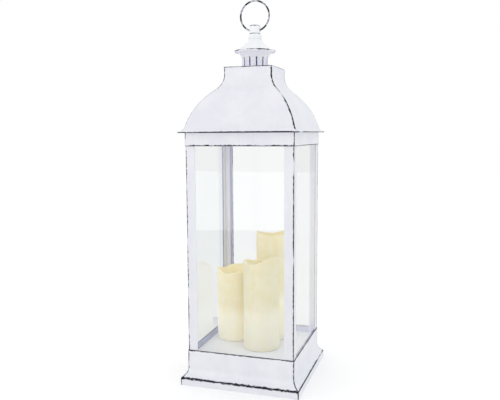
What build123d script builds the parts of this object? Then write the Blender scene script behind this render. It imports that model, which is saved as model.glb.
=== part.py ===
"""A square carrying lantern of painted sheet steel with glass on four sides and three flameless candles.

Millimetres, +Z up. The origin is the middle of the base where it stands. The front faces -Y, and the
door is on the back, at +Y.
"""

import os
from math import cos, radians, sin

from build123d import *

# Overall sizes
TOTAL_HEIGHT = 710.0
BODY_HALF = 101.0  # outer face of the base wall and of the top frame
PLINTH_HALF = 112.0
WALL_STOCK_HALF = 113.0  # half of the length that each wall is cut from, before its mitres
EAVE_HALF = 111.0
CROWN_HALF = 46.0
SHEET = 1.0

# Levels, from the ground up
PLINTH_TOP = 13.5
FLOOR_TOP = 52.5
BASE_TOP = 64.8
FRAME_BOTTOM = 441.8
FRAME_TOP = 465.4
CROWN_BOTTOM = 584.2

# Base and floor
COVE_END_SLOPE = 28.0  # degrees below level where the cove meets the plinth's edge
HEM = 6.0
RIM_DEPTH = 8.0

# Posts, panes and the angles that hold the panes
POST_FLANGE = 17.5
POST_OUTER = BODY_HALF - SHEET
POST_INNER = POST_OUTER - SHEET
GLASS = 2.0
PANE_HALF_WIDTH = 96.5
PANE_INNER = POST_INNER - GLASS
PANE_TOP_GAP = 0.5
RETAINER_FLANGE = 11.0
RETAINER_SHEET = 0.8

# Top frame, eave and roof
TOP_FLANGE = 8.0
EAVE_OPENING_HALF = 92.0
NECK_HALF = 45.3
NECK_SWEEP_RADIUS = 35.0
FLICK_RADIUS = 11.0
SHOULDER_SLOPE = 40.0  # degrees below level where the neck's sweep meets the bell
BELL_SLOPE = 75.0
EAVE_SLOPE = 5.0

# Chimney
DRUM_RADIUS = 24.2
DRUM_FLANGE = 3.0
DRUM_SLOTS = 12
FIRST_SLOT_TURN = -96.0
SLOT_WIDTH = 2.6
SLOT_CUTTER = 6.0  # deep enough to pass the drum's wall
SLOT_BOTTOM = 588.2
SLOT_TOP = 604.5
FLARE_RADIUS = 17.3
FLARE_SWEEP = 75.0
FLARE_DROP = 1.7  # of its lip below the brim, which leaves room for the cap's sheet
BRIM_RADIUS = 38.1
BRIM_LIP = 3.0
CAP_BRIM_LEVEL = 617.3
CAP_SWEEP_RADIUS = 52.0
CAP_BRIM_SLOPE = 20.0
CAP_TOP_SLOPE = 57.0
AIR_HOLES = 6
AIR_HOLE_RADIUS = 5.6
AIR_HOLE_CIRCLE = 14.3

# Finial, ring and the screw that ties the chimney down
COLLAR_RADIUS = 13.2
COLLAR_FOOT = 11.4
COLLAR_DROP = 1.0  # of its widest circle, below its middle
KNOB_RADIUS = 10.1
KNOB_BOTTOM = 648.2
KNOB_TOP = 663.6
KNOB_ROUNDING = 1.2
WIRE_RADIUS = 1.6
RING_RADIUS = 27.7
RING_CENTRE = TOTAL_HEIGHT - RING_RADIUS - WIRE_RADIUS
RING_BORE_RADIUS = 2.8
RING_PIVOT = 653.9
SCREW_RADIUS = 2.5
SCREW_CLEARANCE = 0.05
SCREW_TOP = 646.0
SCREW_HEAD = 3.5
SCREW_HEAD_ACROSS = 8.0
SCREW_CHAMFER = 0.6
WASHER_RADIUS = 6.0
WASHER = 1.2

# Door, which lies over the back face
DOOR_GAP = 0.3
DOOR_HALF_WIDTH = 99.0
DOOR_BOTTOM = 50.5
DOOR_TOP = 455.0
DOOR_DEPTH = 5.0
DOOR_INNER = BODY_HALF + DOOR_GAP
DOOR_OUTER = DOOR_INNER + DOOR_DEPTH
GLASS_LAP = 4.0
CLIP_LEVELS = (90.0, 190.0, 316.0, 416.0)
CLIP_WIDTH = 8.0
CLIP_SHEET = 0.8
CLIP_REACH = 14.0

# Hinges
HINGE_LEVELS = (120.0, 390.0)
HINGE_X = -101.6
HINGE_Y = 101.8
BARREL_RADIUS = 2.2
PIN_RADIUS = 1.0
PIN_CLEARANCE = 0.05
PIN_HEAD_RADIUS = 1.7
PIN_HEAD = 0.8
KNUCKLE = 8.0
KNUCKLE_GAP = 0.3
LEAF_REACH = 15.0
FIXED_LEAF_REACH = 14.0
MOVING_LEAF_SHEET = 0.8

# Latch, which stands a quarter turn from shut, so that the door is free to open
LATCH_X = 91.0
LATCH_Z = 253.0
SHAFT_RADIUS = 1.5
SHAFT_CLEARANCE = 0.05
BUSH_RADIUS = 3.0
LATCH_KNOB_RADIUS = 6.0
LATCH_DISC = 1.6
GRIP_LENGTH = 11.0
GRIP_WIDTH = 2.6
GRIP_HEIGHT = 3.0
CAM_LENGTH = 11.0
CAM_WIDTH = 4.0
CAM_THICKNESS = 1.2
CAM_OUTER = POST_INNER - 0.3
CAM_SLOT_MARGIN = 0.7

# Candles: name, centre x, centre y, height
CANDLES = (
    ("tall", 18.8, 61.2, 218.0),
    ("medium", 14.2, -9.6, 181.0),
    ("short", -54.6, 31.5, 146.0),
)
CANDLE_RADIUS = 35.0
WAX_WALL = 4.0
WAX_BOTTOM_GAP = 0.5
RIM_WIDTH = 3.0
RIM_ROUNDING = 1.2
POOL_DEPTH = 20.0
POOL_THICKNESS = 6.0
POOL_RADIUS = 17.0
BANK_INSET = 4.5
BANK_RISE = 2.5
LAMP_RADIUS = 4.0
LAMP_ROUNDING = 3.6
LAMP_TIP_DEPTH = 12.0
LAMP_LENGTH = 22.0
LEAD_RADIUS = 0.6
LEAD_OFFSET = 1.5

# Battery housing inside each candle, with levels counted from the surface that the candle stands on
HOUSING_HEIGHT = 30.0
HOUSING_WALL = 1.2
HOUSING_FIT = 0.1
FLOOR_RECESS = 0.6
HOUSING_FLOOR = 1.6
COVER_LENGTH = 50.8
COVER_WIDTH = 30.0
COVER_ROUNDING = 3.0
COVER_GAP = 0.2
CELL_RADIUS = 7.1
CELL_LENGTH = 49.5
CELL_TIP_RADIUS = 2.7
CELL_TIP = 1.0
CELL_OFFSET = 7.6
CELL_LEVEL = 10.0
CONTACT_THICKNESS = 0.4
CONTACT_STRIP = 24.3
BOARD_LEVEL = 19.5
BOARD_THICKNESS = 1.6
BOARD_RADIUS = 28.0
LEAD_HOLE_RADIUS = 3.0
SWITCH_Y = 21.0
SWITCH_NUB = 3.6
SWITCH_TRAVEL = 4.0
SWITCH_GAP = 0.3
SWITCH_PLATE = 1.0
SWITCH_PLATE_LENGTH = 11.6
SWITCH_PLATE_WIDTH = 4.8

os.makedirs("parts", exist_ok=True)


def save(piece, name):
    """Labels a finished piece and writes it as its own STEP file."""
    piece.part.label = name
    export_step(piece.part, f"parts/{name}.step")


def mitre_plane(turn):
    """A vertical plane through the lantern's axis, on whose positive side the front wall lies."""
    return Plane(origin=(0, 0, 0), z_dir=(cos(radians(turn)), sin(radians(turn)), 0))


def mitred_wall(section):
    """The front wall of a square shell with this section, cut at 45 degrees at both ends."""
    with BuildPart() as wall:
        extrude(section.sketch, amount=WALL_STOCK_HALF, both=True)
        split(bisect_by=mitre_plane(-45), keep=Keep.TOP)
        split(bisect_by=mitre_plane(-135), keep=Keep.TOP)
    return wall.part


def slope(degrees_below_level):
    """The heading of a line that runs outwards from the front at this slope."""
    return (-cos(radians(degrees_below_level)), -sin(radians(degrees_below_level)))


# ---- Base: upright wall, a cove out to the plinth, then down to a hem turned inwards ----

cove_radius = (PLINTH_HALF - BODY_HALF) / (1 - sin(radians(COVE_END_SLOPE)))
cove_start = PLINTH_TOP + cove_radius * cos(radians(COVE_END_SLOPE))

with BuildSketch(Plane.YZ) as base_section:
    with BuildLine():
        upright = Line((-BODY_HALF, BASE_TOP), (-BODY_HALF, cove_start))
        cove = JernArc(upright @ 1, (0, -1), cove_radius, COVE_END_SLOPE - 90)
        plinth_side = Line(cove @ 1, (-PLINTH_HALF, 0))
        Line(plinth_side @ 1, (HEM - PLINTH_HALF, 0))
        offset(amount=SHEET, side=Side.LEFT, kind=Kind.INTERSECTION)
    make_face()

base_wall = mitred_wall(base_section)
with BuildPart() as base_skirt:
    with PolarLocations(0, 4):
        add(base_wall)
save(base_skirt, "base_skirt")

with BuildPart() as floor_plate:
    with BuildSketch(Plane.XY.offset(FLOOR_TOP)):
        Rectangle(2 * POST_OUTER, 2 * POST_OUTER)
    extrude(amount=-RIM_DEPTH)
    with BuildSketch(Plane.XY.offset(FLOOR_TOP - SHEET)):
        Rectangle(2 * POST_INNER, 2 * POST_INNER)
    extrude(amount=-RIM_DEPTH, mode=Mode.SUBTRACT)
save(floor_plate, "floor_plate")


# ---- Corner posts, panes and retaining angles ----


def angle_bar(corner, flange, thickness, top):
    """An angle that stands on the floor, with its outer edge at the front left corner."""
    with BuildPart() as bar:
        with BuildSketch(Plane.XY.offset(FLOOR_TOP)):
            with Locations((-corner, -corner)):
                Rectangle(flange, flange, align=Align.MIN)
            with Locations((thickness - corner, thickness - corner)):
                Rectangle(flange, flange, align=Align.MIN, mode=Mode.SUBTRACT)
        extrude(amount=top - FLOOR_TOP)
    return bar.part


post = angle_bar(POST_OUTER, POST_FLANGE, SHEET, FRAME_TOP - SHEET)
for index, corner_name in enumerate(("front_left", "front_right", "back_right", "back_left")):
    with BuildPart() as corner_post:
        with PolarLocations(0, 1, start_angle=90 * index):
            add(post)
        if corner_name == "back_right":
            with BuildSketch(Plane.XZ.offset(-POST_OUTER)):
                with Locations((LATCH_X, LATCH_Z)):
                    Rectangle(CAM_WIDTH + 2 * CAM_SLOT_MARGIN, CAM_LENGTH + 2 * CAM_SLOT_MARGIN)
            extrude(amount=SHEET, mode=Mode.SUBTRACT)
    save(corner_post, f"post_{corner_name}")

pane_top = FRAME_TOP - SHEET - PANE_TOP_GAP
retainer = angle_bar(PANE_INNER, RETAINER_FLANGE, RETAINER_SHEET, pane_top)
with BuildPart() as glass_retainers:
    with PolarLocations(0, 4):
        add(retainer)
save(glass_retainers, "glass_retainers")

with BuildPart() as pane:
    with BuildSketch(Plane.XY.offset(FLOOR_TOP)):
        with Locations((0, -PANE_INNER)):
            Rectangle(2 * PANE_HALF_WIDTH, GLASS, align=(Align.CENTER, Align.MAX))
    extrude(amount=pane_top - FLOOR_TOP)
for turn, side_name in ((0, "front"), (90, "right"), (-90, "left")):
    with BuildPart() as turned_pane:
        with PolarLocations(0, 1, start_angle=turn):
            add(pane.part)
    save(turned_pane, f"glass_{side_name}")

# ---- Top frame, eave and roof ----

with BuildSketch(Plane.YZ) as frame_section:
    with BuildLine():
        band = Line((-BODY_HALF, FRAME_BOTTOM), (-BODY_HALF, FRAME_TOP))
        Line(band @ 1, (TOP_FLANGE - BODY_HALF, FRAME_TOP))
        offset(amount=SHEET, side=Side.RIGHT, kind=Kind.INTERSECTION)
    make_face()

band_wall = mitred_wall(frame_section)
with BuildPart() as fascia_band:
    with PolarLocations(0, 4):
        add(band_wall)
save(fascia_band, "fascia_band")

with BuildPart() as eave_plate:
    with BuildSketch(Plane.XY.offset(FRAME_TOP)):
        Rectangle(2 * EAVE_HALF, 2 * EAVE_HALF)
        Rectangle(2 * EAVE_OPENING_HALF, 2 * EAVE_OPENING_HALF, mode=Mode.SUBTRACT)
    extrude(amount=SHEET)
save(eave_plate, "eave_plate")

# The roof's line, from the neck: a sweep outwards, a long bell and a flick out to the eave
sweep_reach = NECK_SWEEP_RADIUS * (1 - sin(radians(SHOULDER_SLOPE)))
flick_reach = FLICK_RADIUS * (sin(radians(BELL_SLOPE)) - sin(radians(EAVE_SLOPE)))
bell_reach = EAVE_HALF - NECK_HALF - sweep_reach - flick_reach
bell_radius = bell_reach / (sin(radians(BELL_SLOPE)) - sin(radians(SHOULDER_SLOPE)))
sweep_drop = NECK_SWEEP_RADIUS * cos(radians(SHOULDER_SLOPE))
bell_drop = bell_radius * (cos(radians(SHOULDER_SLOPE)) - cos(radians(BELL_SLOPE)))
flick_drop = FLICK_RADIUS * (cos(radians(EAVE_SLOPE)) - cos(radians(BELL_SLOPE)))
neck_bottom = FRAME_TOP + 2 * SHEET + sweep_drop + bell_drop + flick_drop

with BuildSketch(Plane.YZ) as roof_section:
    with BuildLine():
        neck = Line((-NECK_HALF, CROWN_BOTTOM), (-NECK_HALF, neck_bottom))
        shoulder = JernArc(neck @ 1, slope(90), NECK_SWEEP_RADIUS, SHOULDER_SLOPE - 90)
        bell = JernArc(shoulder @ 1, slope(SHOULDER_SLOPE), bell_radius, BELL_SLOPE - SHOULDER_SLOPE)
        JernArc(bell @ 1, slope(BELL_SLOPE), FLICK_RADIUS, EAVE_SLOPE - BELL_SLOPE)
        offset(amount=SHEET, side=Side.LEFT, kind=Kind.INTERSECTION)
    make_face()

roof_wall = mitred_wall(roof_section)
for index, side_name in enumerate(("front", "right", "back", "left")):
    with BuildPart() as roof_panel:
        with PolarLocations(0, 1, start_angle=90 * index):
            add(roof_wall)
    save(roof_panel, f"roof_{side_name}")

# ---- Chimney: crown plate, slotted drum and cap ----

crown_top = CROWN_BOTTOM + SHEET
crown_rim_half = NECK_HALF - SHEET
screw_hole_radius = SCREW_RADIUS + SCREW_CLEARANCE

with BuildPart() as crown_plate:
    with BuildSketch(Plane.XY.offset(CROWN_BOTTOM)):
        Rectangle(2 * CROWN_HALF, 2 * CROWN_HALF)
    extrude(amount=SHEET)
    with BuildSketch(Plane.XY.offset(CROWN_BOTTOM)):
        Rectangle(2 * crown_rim_half, 2 * crown_rim_half)
        Rectangle(2 * (crown_rim_half - SHEET), 2 * (crown_rim_half - SHEET), mode=Mode.SUBTRACT)
    extrude(amount=-RIM_DEPTH)
    with BuildSketch(Plane.XY.offset(CROWN_BOTTOM)):
        Circle(screw_hole_radius)
        with PolarLocations(AIR_HOLE_CIRCLE, AIR_HOLES):
            Circle(AIR_HOLE_RADIUS)
    extrude(amount=SHEET, mode=Mode.SUBTRACT)
save(crown_plate, "crown_plate")

flare_rise = FLARE_RADIUS * sin(radians(FLARE_SWEEP))
flare_bottom = CAP_BRIM_LEVEL - FLARE_DROP - flare_rise

with BuildPart() as vent_drum:
    with BuildSketch(Plane.XZ):
        with BuildLine():
            flange = Line((DRUM_RADIUS - DRUM_FLANGE, crown_top), (DRUM_RADIUS, crown_top))
            drum_side = Line(flange @ 1, (DRUM_RADIUS, flare_bottom))
            JernArc(drum_side @ 1, (0, 1), FLARE_RADIUS, -FLARE_SWEEP)
            offset(amount=SHEET, side=Side.LEFT, kind=Kind.INTERSECTION)
        make_face()
    revolve(axis=Axis.Z)
    with BuildSketch(Plane.XY.offset(SLOT_BOTTOM)):
        with PolarLocations(DRUM_RADIUS, DRUM_SLOTS, start_angle=FIRST_SLOT_TURN):
            Rectangle(SLOT_CUTTER, SLOT_WIDTH)
    extrude(amount=SLOT_TOP - SLOT_BOTTOM, mode=Mode.SUBTRACT)
save(vent_drum, "vent_drum")

cap_span = CAP_SWEEP_RADIUS * (sin(radians(CAP_TOP_SLOPE)) - sin(radians(CAP_BRIM_SLOPE)))
cap_rise = CAP_SWEEP_RADIUS * (cos(radians(CAP_BRIM_SLOPE)) - cos(radians(CAP_TOP_SLOPE)))
cap_top = CAP_BRIM_LEVEL + cap_rise
cap_heading = (cos(radians(CAP_TOP_SLOPE)), -sin(radians(CAP_TOP_SLOPE)))

with BuildPart() as chimney_cap:
    with BuildSketch(Plane.XZ):
        with BuildLine():
            seat = Line((screw_hole_radius, cap_top), (BRIM_RADIUS - cap_span, cap_top))
            cone = JernArc(seat @ 1, cap_heading, CAP_SWEEP_RADIUS, CAP_TOP_SLOPE - CAP_BRIM_SLOPE)
            Line(cone @ 1, (BRIM_RADIUS, CAP_BRIM_LEVEL - BRIM_LIP))
            offset(amount=SHEET, side=Side.RIGHT, kind=Kind.INTERSECTION)
        make_face()
    revolve(axis=Axis.Z)
save(chimney_cap, "chimney_cap")

# ---- Finial with its cross hole, the carrying ring, and the tie screw ----

with BuildPart() as finial:
    with BuildSketch(Plane.XZ):
        with BuildLine():
            foot = Line((0, cap_top), (COLLAR_FOOT, cap_top))
            widest = (COLLAR_RADIUS, (cap_top + KNOB_BOTTOM) / 2 - COLLAR_DROP)
            collar = ThreePointArc(foot @ 1, widest, (KNOB_RADIUS, KNOB_BOTTOM))
            Polyline(collar @ 1, (KNOB_RADIUS, KNOB_TOP), (0, KNOB_TOP), (0, cap_top))
        make_face()
    revolve(axis=Axis.Z)
    fillet(finial.edges().filter_by(GeomType.CIRCLE).sort_by(Axis.Z)[-1], radius=KNOB_ROUNDING)
    with BuildSketch(Plane.YZ):
        with Locations((0, RING_PIVOT)):
            Circle(RING_BORE_RADIUS)
    extrude(amount=2 * KNOB_RADIUS, both=True, mode=Mode.SUBTRACT)
    with BuildSketch(Plane.XY.offset(cap_top)):
        Circle(screw_hole_radius)
    extrude(amount=SCREW_TOP + SHEET - cap_top, mode=Mode.SUBTRACT)
save(finial, "finial")

with BuildPart() as carrying_ring:
    with Locations(Location((0, 0, RING_CENTRE), (90, 0, 0))):
        Torus(RING_RADIUS, WIRE_RADIUS)
save(carrying_ring, "carrying_ring")

with BuildPart() as tie_washer:
    with BuildSketch(Plane.XY.offset(CROWN_BOTTOM)):
        Circle(WASHER_RADIUS)
        Circle(screw_hole_radius, mode=Mode.SUBTRACT)
    extrude(amount=-WASHER)
save(tie_washer, "tie_washer")

with BuildPart() as tie_screw:
    with BuildSketch(Plane.XY.offset(CROWN_BOTTOM - WASHER)):
        RegularPolygon(SCREW_HEAD_ACROSS / 2, 6, major_radius=False)
    extrude(amount=-SCREW_HEAD)
    with BuildSketch(Plane.XY.offset(CROWN_BOTTOM - WASHER)):
        Circle(SCREW_RADIUS)
    extrude(amount=SCREW_TOP - CROWN_BOTTOM + WASHER)
    chamfer(tie_screw.edges().filter_by(GeomType.CIRCLE).sort_by(Axis.Z)[-1], length=SCREW_CHAMFER)
save(tie_screw, "tie_screw")

# ---- Door: a shallow tray with a window, its pane, and the clips that hold the pane ----

door_middle = (DOOR_BOTTOM + DOOR_TOP) / 2
door_height = DOOR_TOP - DOOR_BOTTOM
window_half = POST_OUTER - POST_FLANGE
window_middle = (BASE_TOP + FRAME_BOTTOM) / 2
window_height = FRAME_BOTTOM - BASE_TOP
door_glass_outer = DOOR_OUTER - SHEET
door_glass_inner = door_glass_outer - GLASS

with BuildPart() as door_frame:
    with BuildSketch(Plane.XZ.offset(-DOOR_OUTER)):
        with Locations((0, door_middle)):
            Rectangle(2 * DOOR_HALF_WIDTH, door_height)
    extrude(amount=DOOR_DEPTH)
    with BuildSketch(Plane.XZ.offset(-door_glass_outer)):
        with Locations((0, door_middle)):
            Rectangle(2 * (DOOR_HALF_WIDTH - SHEET), door_height - 2 * SHEET)
    extrude(amount=DOOR_DEPTH, mode=Mode.SUBTRACT)
    with BuildSketch(Plane.XZ.offset(-DOOR_OUTER)):
        with Locations((0, window_middle)):
            Rectangle(2 * window_half, window_height)
        with Locations((LATCH_X, LATCH_Z)):
            Circle(SHAFT_RADIUS + SHAFT_CLEARANCE)
    extrude(amount=SHEET, mode=Mode.SUBTRACT)
save(door_frame, "door_frame")

with BuildPart() as door_glass:
    with BuildSketch(Plane.XZ.offset(-door_glass_outer)):
        with Locations((0, window_middle)):
            Rectangle(2 * (window_half + GLASS_LAP), window_height + 2 * GLASS_LAP)
    extrude(amount=GLASS)
save(door_glass, "door_glass")

with BuildPart() as door_clips:
    with BuildSketch(Plane.XZ.offset(-door_glass_inner)):
        for clip_level in CLIP_LEVELS:
            with Locations((SHEET - DOOR_HALF_WIDTH, clip_level)):
                Rectangle(CLIP_REACH, CLIP_WIDTH, align=(Align.MIN, Align.CENTER))
            with Locations((DOOR_HALF_WIDTH - SHEET, clip_level)):
                Rectangle(CLIP_REACH, CLIP_WIDTH, align=(Align.MAX, Align.CENTER))
    extrude(amount=CLIP_SHEET)
save(door_clips, "door_clips")

# ---- Hinges: three knuckles each, the middle one on the door ----

barrel_pitch = KNUCKLE + KNUCKLE_GAP
barrel_length = 3 * KNUCKLE + 2 * KNUCKLE_GAP
leaf_clearance = BARREL_RADIUS + KNUCKLE_GAP


def hinge_half(leaf_corner, leaf_size, own_knuckles, other_knuckles):
    """One leaf of both hinges: a plate, its own knuckles, and notches around the other leaf's."""
    with BuildPart() as half:
        for level in HINGE_LEVELS:
            with BuildSketch(Plane.XY.offset(level - barrel_length / 2)):
                with Locations(leaf_corner):
                    Rectangle(*leaf_size, align=Align.MIN)
            extrude(amount=barrel_length)
            for place in own_knuckles:
                with Locations((HINGE_X, HINGE_Y, level + place * barrel_pitch)):
                    Cylinder(BARREL_RADIUS, KNUCKLE)
            for place in other_knuckles:
                with Locations((HINGE_X, HINGE_Y, level + place * barrel_pitch)):
                    Cylinder(leaf_clearance, KNUCKLE + 2 * KNUCKLE_GAP, mode=Mode.SUBTRACT)
            with Locations((HINGE_X, HINGE_Y, level)):
                Cylinder(PIN_RADIUS + PIN_CLEARANCE, 2 * barrel_length, mode=Mode.SUBTRACT)
    return half


fixed_corner = (-POST_OUTER - SHEET, HINGE_Y - LEAF_REACH)
hinge_fixed_leaves = hinge_half(fixed_corner, (SHEET, FIXED_LEAF_REACH), (-1, 1), (0,))
save(hinge_fixed_leaves, "hinge_fixed_leaves")

moving_corner = (-DOOR_HALF_WIDTH - MOVING_LEAF_SHEET, DOOR_INNER)
hinge_moving_leaves = hinge_half(moving_corner, (MOVING_LEAF_SHEET, DOOR_DEPTH), (0,), (-1, 1))
save(hinge_moving_leaves, "hinge_moving_leaves")

with BuildPart() as hinge_pins:
    for pin_level in HINGE_LEVELS:
        with Locations((HINGE_X, HINGE_Y, pin_level)):
            Cylinder(PIN_RADIUS, barrel_length)
        with Locations((HINGE_X, HINGE_Y, pin_level + barrel_length / 2)):
            Cylinder(PIN_HEAD_RADIUS, PIN_HEAD, align=(Align.CENTER, Align.CENTER, Align.MIN))
save(hinge_pins, "hinge_pins")

# ---- Latch: knob and shaft through the door's stile, with a cam that passes a slot in the post ----

knob_base = DOOR_OUTER + DOOR_GAP
cam_inner = CAM_OUTER - CAM_THICKNESS

with BuildPart() as latch_bush:
    with BuildSketch(Plane.XZ.offset(-door_glass_outer)):
        with Locations((LATCH_X, LATCH_Z)):
            Circle(BUSH_RADIUS)
            Circle(SHAFT_RADIUS + SHAFT_CLEARANCE, mode=Mode.SUBTRACT)
    extrude(amount=door_glass_outer - DOOR_INNER)
save(latch_bush, "latch_bush")

with BuildPart() as latch_knob:
    with BuildSketch(Plane.XZ.offset(-knob_base)):
        with Locations((LATCH_X, LATCH_Z)):
            Circle(LATCH_KNOB_RADIUS)
    extrude(amount=-LATCH_DISC)
    with BuildSketch(Plane.XZ.offset(-knob_base - LATCH_DISC)):
        with Locations((LATCH_X, LATCH_Z)):
            SlotOverall(GRIP_LENGTH, GRIP_WIDTH, rotation=90)
    extrude(amount=-GRIP_HEIGHT)
    with BuildSketch(Plane.XZ.offset(-knob_base)):
        with Locations((LATCH_X, LATCH_Z)):
            Circle(SHAFT_RADIUS)
    extrude(amount=knob_base - cam_inner)
save(latch_knob, "latch_knob")

with BuildPart() as latch_cam:
    with BuildSketch(Plane.XZ.offset(-CAM_OUTER)):
        with Locations((LATCH_X, LATCH_Z)):
            SlotOverall(CAM_LENGTH, CAM_WIDTH, rotation=90)
            Circle(SHAFT_RADIUS, mode=Mode.SUBTRACT)
    extrude(amount=CAM_THICKNESS)
save(latch_cam, "latch_cam")

# ---- Candles: each is built at the origin and then stood in its place on the floor ----

wax_inner_radius = CANDLE_RADIUS - WAX_WALL
housing_radius = wax_inner_radius - HOUSING_FIT
housing_inner_radius = housing_radius - HOUSING_WALL
housing_floor_top = FLOOR_RECESS + HOUSING_FLOOR


def wax_shell(height):
    """A hollow pillar with a sunken top, open underneath, with a hole for the lamp."""
    pool = height - POOL_DEPTH
    with BuildPart() as wax:
        with BuildSketch(Plane.XZ):
            with BuildLine():
                Polyline(
                    (wax_inner_radius, pool - POOL_THICKNESS),
                    (wax_inner_radius, WAX_BOTTOM_GAP),
                    (CANDLE_RADIUS, WAX_BOTTOM_GAP),
                    (CANDLE_RADIUS, height),
                    (CANDLE_RADIUS - RIM_WIDTH, height),
                )
                bank = (wax_inner_radius - BANK_INSET, pool + BANK_RISE)
                ThreePointArc((CANDLE_RADIUS - RIM_WIDTH, height), bank, (POOL_RADIUS, pool))
                Polyline(
                    (POOL_RADIUS, pool),
                    (LAMP_RADIUS, pool),
                    (LAMP_RADIUS, pool - POOL_THICKNESS),
                    (wax_inner_radius, pool - POOL_THICKNESS),
                )
            make_face()
        revolve(axis=Axis.Z)
        outer_rim = wax.edges().filter_by(GeomType.CIRCLE).sort_by(Axis.Z)[-2:].sort_by(SortBy.RADIUS)
        fillet(outer_rim[-1], radius=RIM_ROUNDING)
    return wax.part


def lamp(height):
    """A round-nosed lamp whose two leads run down to the circuit board."""
    tip = height - LAMP_TIP_DEPTH
    with BuildPart() as bulb:
        with BuildSketch(Plane.XY.offset(tip - LAMP_LENGTH)):
            Circle(LAMP_RADIUS)
        extrude(amount=LAMP_LENGTH)
        fillet(bulb.edges().filter_by(GeomType.CIRCLE).sort_by(Axis.Z)[-1], radius=LAMP_ROUNDING)
        with BuildSketch(Plane.XY.offset(BOARD_LEVEL + BOARD_THICKNESS)):
            with Locations((-LEAD_OFFSET, 0), (LEAD_OFFSET, 0)):
                Circle(LEAD_RADIUS)
        extrude(amount=tip - LAMP_LENGTH - BOARD_LEVEL - BOARD_THICKNESS)
    return bulb.part


def battery_housing():
    """A cup, closed on top, whose floor has the battery opening and the switch's slot."""
    with BuildPart() as housing:
        with BuildSketch():
            Circle(housing_radius)
        extrude(amount=HOUSING_HEIGHT)
        with BuildSketch(Plane.XY.offset(housing_floor_top)):
            Circle(housing_inner_radius)
        extrude(amount=HOUSING_HEIGHT - HOUSING_WALL - housing_floor_top, mode=Mode.SUBTRACT)
        with BuildSketch():
            Circle(housing_inner_radius)
        extrude(amount=FLOOR_RECESS, mode=Mode.SUBTRACT)
        with BuildSketch():
            RectangleRounded(COVER_LENGTH, COVER_WIDTH, COVER_ROUNDING)
            with Locations((0, SWITCH_Y)):
                Rectangle(SWITCH_NUB + SWITCH_TRAVEL + 2 * SWITCH_GAP, SWITCH_NUB + 2 * SWITCH_GAP)
        extrude(amount=housing_floor_top, mode=Mode.SUBTRACT)
        with BuildSketch(Plane.XY.offset(HOUSING_HEIGHT)):
            Circle(LEAD_HOLE_RADIUS)
        extrude(amount=-HOUSING_WALL, mode=Mode.SUBTRACT)
    return housing.part


def battery_cover():
    """The plate that closes the battery opening."""
    with BuildPart() as cover:
        with BuildSketch(Plane.XY.offset(FLOOR_RECESS)):
            RectangleRounded(
                COVER_LENGTH - 2 * COVER_GAP, COVER_WIDTH - 2 * COVER_GAP, COVER_ROUNDING - COVER_GAP
            )
        extrude(amount=HOUSING_FLOOR)
    return cover.part


def cells():
    """Two cells side by side, head to tail, each with the small tip of its positive end."""
    with BuildPart() as pair:
        for way in (-1, 1):
            with BuildSketch(Plane.YZ.offset(way * (-CELL_LENGTH / 2))):
                with Locations((way * CELL_OFFSET, CELL_LEVEL)):
                    Circle(CELL_RADIUS)
            extrude(amount=way * (CELL_LENGTH - CELL_TIP))
            with BuildSketch(Plane.YZ.offset(way * (CELL_LENGTH / 2 - CELL_TIP))):
                with Locations((way * CELL_OFFSET, CELL_LEVEL)):
                    Circle(CELL_TIP_RADIUS)
            extrude(amount=way * CELL_TIP)
    return pair.part


def contacts():
    """The sprung strip at one end that joins both cells, and the two tabs at the other end."""
    with BuildPart() as strips:
        with BuildSketch(Plane.YZ.offset(CELL_LENGTH / 2)):
            with Locations((0, CELL_LEVEL)):
                Rectangle(CONTACT_STRIP, CELL_RADIUS)
        extrude(amount=CONTACT_THICKNESS)
        with BuildSketch(Plane.YZ.offset(-CELL_LENGTH / 2)):
            with Locations((-CELL_OFFSET, CELL_LEVEL), (CELL_OFFSET, CELL_LEVEL)):
                Rectangle(CELL_RADIUS, CELL_RADIUS)
        extrude(amount=-CONTACT_THICKNESS)
    return strips.part


def circuit_board():
    """A round board above the cells."""
    with BuildPart() as board:
        with BuildSketch(Plane.XY.offset(BOARD_LEVEL)):
            Circle(BOARD_RADIUS)
        extrude(amount=BOARD_THICKNESS)
    return board.part


def switch_slider():
    """A nub that stands in the slot, at one end of its travel, below the plate that holds it in."""
    with BuildPart() as slider:
        with BuildSketch(Plane.XY.offset(SWITCH_GAP)):
            with Locations((-SWITCH_TRAVEL / 2, SWITCH_Y)):
                Rectangle(SWITCH_NUB, SWITCH_NUB)
        extrude(amount=housing_floor_top)
        with BuildSketch(Plane.XY.offset(housing_floor_top + SWITCH_GAP)):
            with Locations((-SWITCH_TRAVEL / 2, SWITCH_Y)):
                Rectangle(SWITCH_PLATE_LENGTH, SWITCH_PLATE_WIDTH)
        extrude(amount=SWITCH_PLATE)
    return slider.part


for candle_name, centre_x, centre_y, candle_height in CANDLES:
    candle_pieces = (
        ("wax", wax_shell(candle_height)),
        ("lamp", lamp(candle_height)),
        ("housing", battery_housing()),
        ("cover", battery_cover()),
        ("cells", cells()),
        ("contacts", contacts()),
        ("board", circuit_board()),
        ("switch", switch_slider()),
    )
    for piece_name, shape in candle_pieces:
        with BuildPart() as candle_piece:
            with Locations((centre_x, centre_y, FLOOR_TOP)):
                add(shape)
        save(candle_piece, f"{candle_name}_{piece_name}")
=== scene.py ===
# %% [markdown]
# # A distressed white candle lantern
# The metalwork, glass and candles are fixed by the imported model. This lesson gives them their
# looks: sheet metal with rolled edges and rubbed paint, clear panes, and wax pillars with melted
# rims. Everything is in metres, in the model's own frame, so a piece goes where the model says.

# %% Load the frame
from math import atan2, cos, degrees, exp, pi, radians, sin, tau

import bmesh
import bpy
from mathutils import Matrix, Vector, noise


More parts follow.
